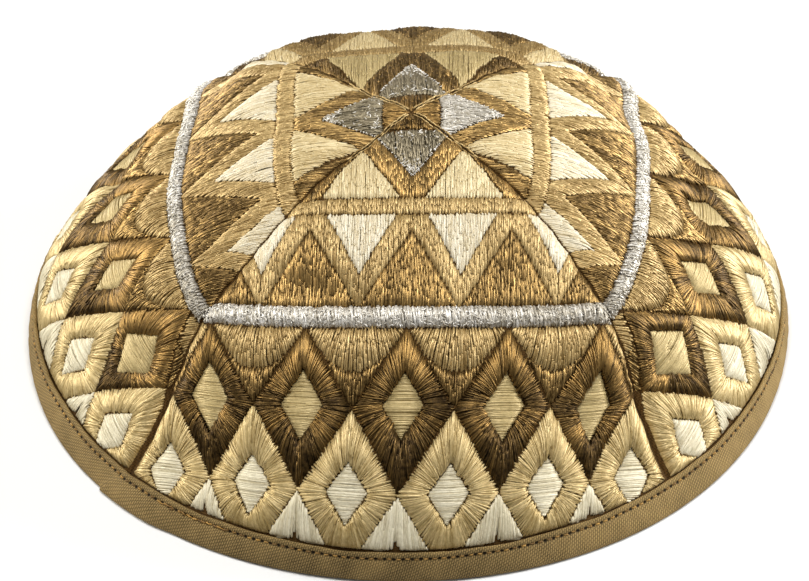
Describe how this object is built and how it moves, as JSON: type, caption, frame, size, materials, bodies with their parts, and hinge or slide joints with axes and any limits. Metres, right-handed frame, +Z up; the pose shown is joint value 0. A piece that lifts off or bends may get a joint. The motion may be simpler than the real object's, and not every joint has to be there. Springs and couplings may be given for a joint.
{
  "type": "kippah skullcap",
  "caption": "Round domed skullcap sewn from embroidered cloth panels that meet at the crown, with a folded tape binding round its open rim.",
  "frame": {"origin": "middle of the plane that the rim rests on", "axes": "+Z up through the crown, -Y towards the front panel, +X towards the panel on the right as seen from the front"},
  "size_m": [0.1796, 0.1797, 0.0638],
  "materials": {
    "embroidered_cloth": "brown ground cloth covered with shiny embroidery thread in browns, golds and cream, with a raised silver line",
    "binding_tape": "matt khaki twill tape with a row of gold-brown topstitching"
  },
  "bodies": {
    "root": {"panel_front": "embroidered_cloth", "panel_right": "embroidered_cloth", "panel_back": "embroidered_cloth", "panel_left": "embroidered_cloth", "rim_binding": "binding_tape"}
  },
  "joints": []
}
